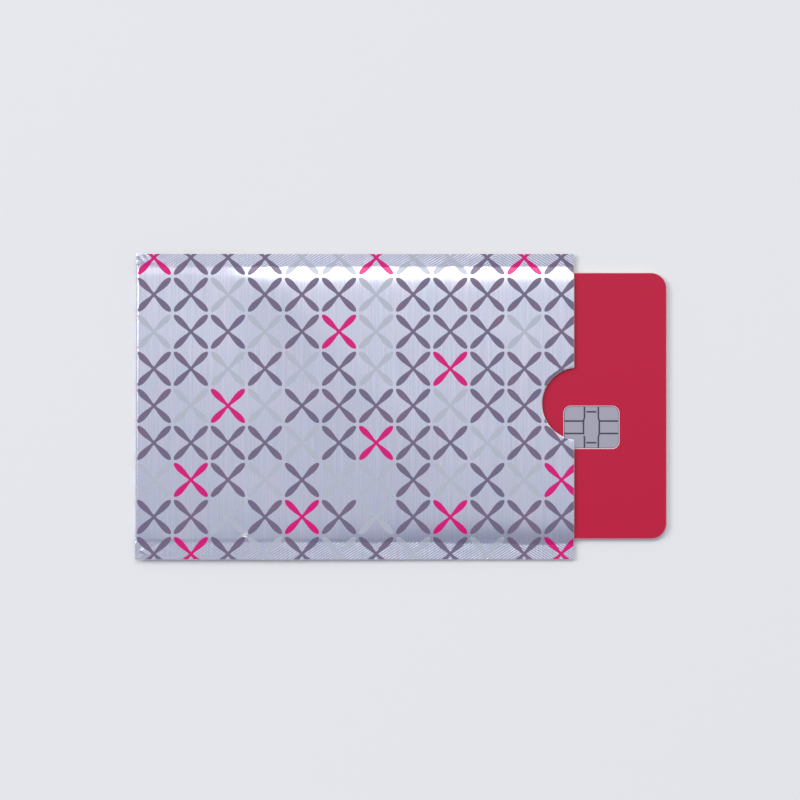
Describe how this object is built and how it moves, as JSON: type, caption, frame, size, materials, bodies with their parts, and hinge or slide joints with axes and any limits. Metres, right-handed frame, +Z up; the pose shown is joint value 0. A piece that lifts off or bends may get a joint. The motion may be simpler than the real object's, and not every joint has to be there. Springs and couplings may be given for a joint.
{
  "type": "rfid card sleeve",
  "caption": "Flat foil and paper sleeve, folded at one end and sealed along both sides, with a thumb notch at its open end and a contactless chip card that slides in it.",
  "frame": {"origin": "on the sleeve's underside, in the middle of its length and width", "axes": "+X from the folded end to the open mouth, +Y across the sleeve, +Z up out of its front face"},
  "size_m": [0.1078, 0.062, 0.0017],
  "materials": {
    "foil": "satin, printed",
    "seam_foil": "satin, knurled by the heat seal",
    "liner_paper": "uncoated",
    "seal_film": "heat-sealed",
    "card_film": "laminated, glossy, over the print",
    "card_print": "printed",
    "card_core": "plain",
    "card_back_film": "laminated",
    "antenna_copper": "drawn",
    "stripe_coating": "coated",
    "signature_coating": "coated",
    "contact_plating": "plated, satin",
    "carrier_tape": "glass-fibre epoxy",
    "chip_adhesive": "hot-melt",
    "silicon": "sawn",
    "potting_resin": "cast"
  },
  "bodies": {
    "sleeve": {"front_foil": "foil", "front_paper": "liner_paper", "back_foil": "foil", "back_paper": "liner_paper", "upper_seam_front_foil": "seam_foil", "upper_seam_front_paper": "liner_paper", "upper_seam_back_foil": "seam_foil", "upper_seam_back_paper": "liner_paper", "lower_seam_front_foil": "seam_foil", "lower_seam_front_paper": "liner_paper", "lower_seam_back_foil": "seam_foil", "lower_seam_back_paper": "liner_paper", "upper_seal_film": "seal_film", "lower_seal_film": "seal_film", "end_fold_foil": "foil", "end_fold_paper": "liner_paper"},
    "card": {"card_front_overlay": "card_film", "card_front_sheet": "card_print", "card_inlay": "card_core", "card_back_sheet": "card_core", "card_back_overlay": "card_back_film", "antenna_coil": "antenna_copper", "magnetic_stripe": "stripe_coating", "signature_panel": "signature_coating", "contact_pads": "contact_plating", "chip_carrier": "carrier_tape", "chip_adhesive": "chip_adhesive", "chip_die": "silicon", "chip_resin": "potting_resin"}
  },
  "joints": [
    {"name": "card_slide", "type": "slide", "parent": "sleeve", "child": "card", "axis": [1, 0, 0], "range_m": [-0.0212, 0.07]}
  ]
}
